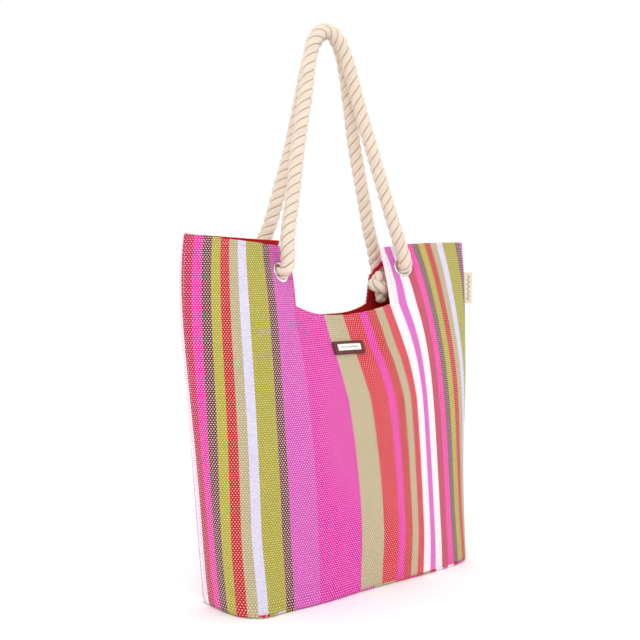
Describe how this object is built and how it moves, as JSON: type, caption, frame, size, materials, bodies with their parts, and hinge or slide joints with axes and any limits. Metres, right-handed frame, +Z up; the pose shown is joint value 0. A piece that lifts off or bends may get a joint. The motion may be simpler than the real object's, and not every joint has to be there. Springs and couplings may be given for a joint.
{
  "type": "beach bag",
  "caption": "Striped canvas beach tote with a boxed flat base, scooped mouth, red lining, metal eyelets and knotted twisted rope handles that swing.",
  "frame": {"origin": "on the floor, under the middle of the base", "axes": "+X along the bag's width to the right as seen from the front, -Y out of the front, +Z up"},
  "size_m": [0.4207, 0.1119, 0.6281],
  "materials": {
    "striped_canvas": "coarse woven canvas in stripes of magenta, orchid, olive, tan, coral, brown, lavender and white",
    "red_lining": "plain deep red woven lining",
    "cotton_rope": "natural three-strand twisted cotton rope",
    "nickel": "nickel-plated, lightly brushed",
    "base_board": "plain stiffening board",
    "brown_leather": "smooth dark brown leather",
    "natural_tape": "natural cotton tape"
  },
  "bodies": {
    "root": {"front_panel": "striped_canvas", "front_lining": "red_lining", "front_left_eyelet": "nickel", "front_left_washer": "nickel", "front_left_knot": "cotton_rope", "front_right_eyelet": "nickel", "front_right_washer": "nickel", "front_right_knot": "cotton_rope", "back_panel": "striped_canvas", "back_lining": "red_lining", "back_left_eyelet": "nickel", "back_left_washer": "nickel", "back_left_knot": "cotton_rope", "back_right_eyelet": "nickel", "back_right_washer": "nickel", "back_right_knot": "cotton_rope", "base_panel": "striped_canvas", "base_board": "base_board", "base_lining": "red_lining", "badge_patch": "brown_leather", "badge_plate": "nickel", "side_label": "natural_tape"},
    "front_handle": {"front_handle_rope": "cotton_rope"},
    "back_handle": {"back_handle_rope": "cotton_rope"}
  },
  "joints": [
    {"name": "front_handle_swing", "type": "hinge", "parent": "root", "child": "front_handle", "pos_m": [0.00251, -0.01995, 0.35128], "axis": [0.9992, 0.0063, 0.0392], "range_deg": [0, 155]},
    {"name": "back_handle_swing", "type": "hinge", "parent": "root", "child": "back_handle", "pos_m": [0.00497, 0.03773, 0.34542], "axis": [1, 0, 0], "range_deg": [-155, 0]}
  ]
}
